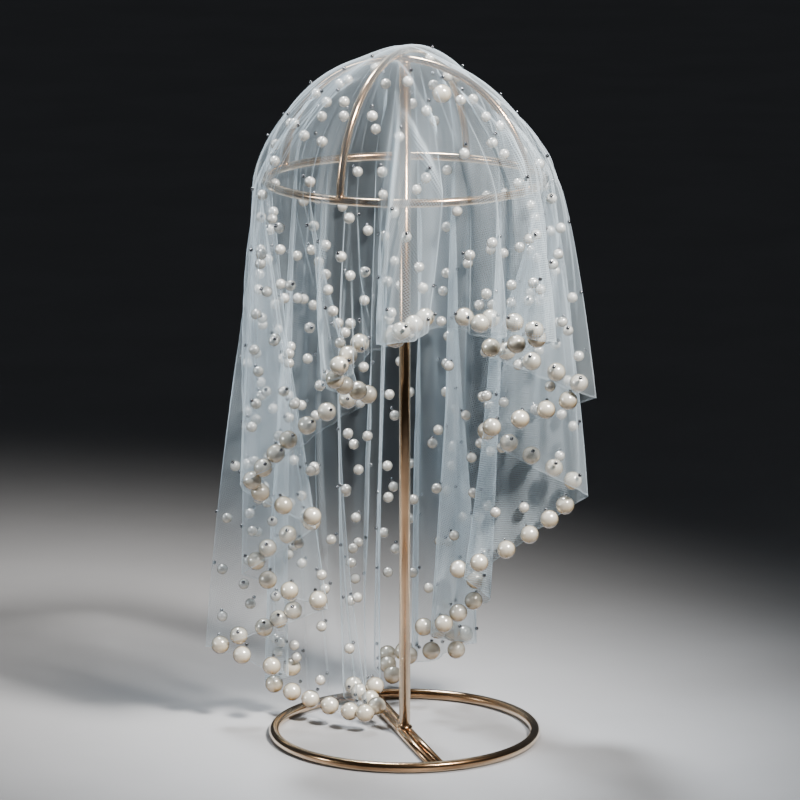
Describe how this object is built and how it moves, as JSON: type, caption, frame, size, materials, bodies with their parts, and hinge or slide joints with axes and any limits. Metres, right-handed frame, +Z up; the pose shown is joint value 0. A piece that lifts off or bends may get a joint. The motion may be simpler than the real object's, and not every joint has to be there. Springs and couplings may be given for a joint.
{
  "type": "bridal veil on a wire stand",
  "caption": "Sheer round tulle bridal veil edged with large pearls and scattered with small ones, draped in deep folds over a rose-gold wire stand.",
  "frame": {"origin": "middle of the stand's flat underside, below the post, on the surface it stands on", "axes": "+Z up along the post, -Y the front that is seen, +X to the viewer's right"},
  "size_m": [0.2051, 0.1877, 0.3709],
  "materials": {
    "gold_wire": "glossy rose-gold lacquer",
    "tulle": "sheer soft net",
    "pearl": "pearl lustre",
    "stud": "polished gunmetal"
  },
  "bodies": {
    "root": {"base_ring": "gold_wire", "base_bar": "gold_wire", "post": "gold_wire", "head_ring": "gold_wire", "front_hoop": "gold_wire", "side_hoop": "gold_wire", "veil_crown": "tulle", "veil_fall_left_back": "tulle", "veil_fall_left_front": "tulle", "veil_fall_front": "tulle", "veil_fall_right_front": "tulle", "veil_fall_right_back": "tulle", "veil_fall_back": "tulle"}
  },
  "joints": []
}
